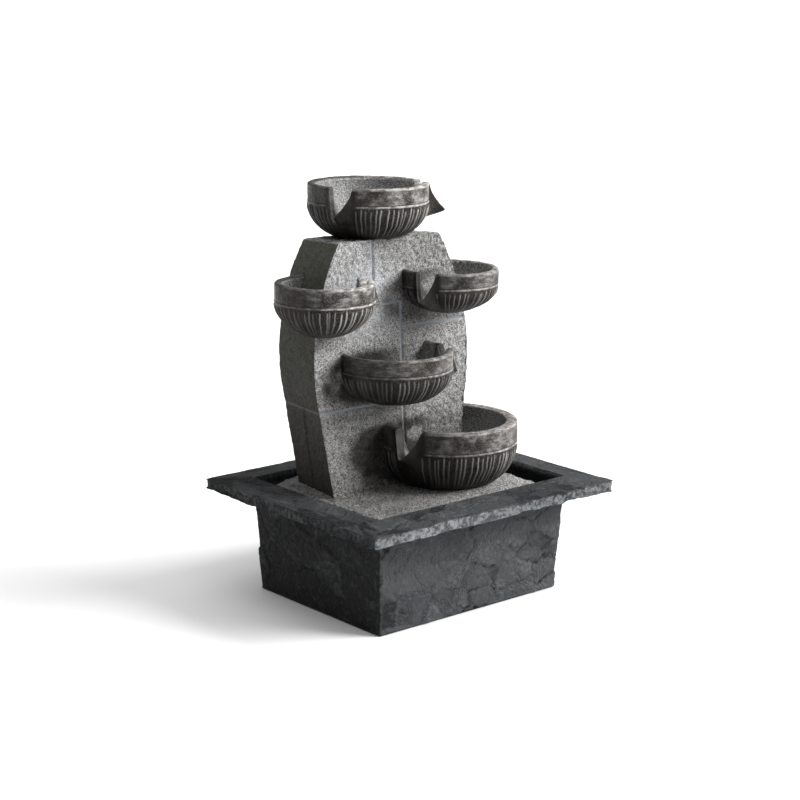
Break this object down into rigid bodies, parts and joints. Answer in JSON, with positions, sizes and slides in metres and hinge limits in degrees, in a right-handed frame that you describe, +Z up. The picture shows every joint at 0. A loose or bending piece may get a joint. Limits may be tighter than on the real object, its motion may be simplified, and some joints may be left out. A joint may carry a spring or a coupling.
{
  "type": "tabletop water fountain",
  "caption": "Tabletop fountain with a slate-look basin, a lift-out deck and granite-look tower, spouted bowls in a cascade, and a small pump under the deck.",
  "frame": {"origin": "on the table, under the middle of the basin's rim", "axes": "+X along the wide front of the basin to the right, +Y towards the back, +Z up"},
  "size_m": [0.3, 0.25, 0.388],
  "materials": {
    "slate_resin": "cast resin with a riven slate face, matte charcoal with lighter dry-brushed edges",
    "granite_resin": "cast resin with a bush-hammered granite face, light grey speckle on dark grey",
    "bowl_resin": "cast resin painted dark bronze, satin, with worn light grey ridges and rims",
    "black_rubber": "matte moulded rubber",
    "bush_rubber": "matte moulded rubber",
    "cup_rubber": "soft translucent grey rubber",
    "clear_vinyl": "clear flexible vinyl",
    "pump_plastic": "fine textured moulded plastic",
    "black_plastic": "fine textured moulded plastic",
    "grey_plastic": "fine textured moulded plastic",
    "impeller_plastic": "smooth moulded plastic",
    "core_steel": "stacked steel laminations",
    "coil_copper": "enamelled copper winding",
    "white_ceramic": "ground ceramic",
    "ferrite": "sintered ferrite magnet",
    "sponge_foam": "open-cell filter foam"
  },
  "bodies": {
    "basin_assembly": {"basin": "slate_resin", "rubber_feet": "black_rubber", "cable_grommet": "black_rubber", "pump_housing": "pump_plastic", "pump_end_cap": "black_plastic", "pump_cable_gland": "black_rubber", "stator_core": "core_steel", "stator_coil": "coil_copper", "volute_cover": "pump_plastic", "volute_seal": "black_rubber", "impeller_shaft": "white_ceramic", "shaft_bush_front": "bush_rubber", "shaft_bush_rear": "bush_rubber", "suction_cups": "cup_rubber"},
    "tower_assembly": {"deck_plate": "granite_resin", "tower_shell": "granite_resin", "bowl_top": "bowl_resin", "bowl_left": "bowl_resin", "bowl_right": "bowl_resin", "bowl_middle": "bowl_resin", "bowl_bottom": "bowl_resin", "riser_tube": "clear_vinyl", "outlet_fitting": "black_plastic"},
    "rotor": {"rotor_magnet": "ferrite", "impeller": "impeller_plastic"},
    "pump_cover": {"intake_grille": "black_plastic", "filter_sponge": "sponge_foam"},
    "flow_control": {"flow_slider": "grey_plastic"}
  },
  "joints": [
    {"name": "tower_lift", "type": "slide", "parent": "basin_assembly", "child": "tower_assembly", "axis": [0, 0, 1], "range_m": [0, 0.12]},
    {"name": "impeller_spin", "type": "hinge", "parent": "basin_assembly", "child": "rotor", "pos_m": [-0.033, 0.04, 0.0315], "axis": [0, 1, 0], "continuous": true},
    {"name": "cover_pull", "type": "slide", "parent": "basin_assembly", "child": "pump_cover", "axis": [0, -1, 0], "range_m": [0, 0.02]},
    {"name": "flow_adjust", "type": "slide", "parent": "pump_cover", "child": "flow_control", "axis": [1, 0, 0], "range_m": [0, 0.008]}
  ]
}
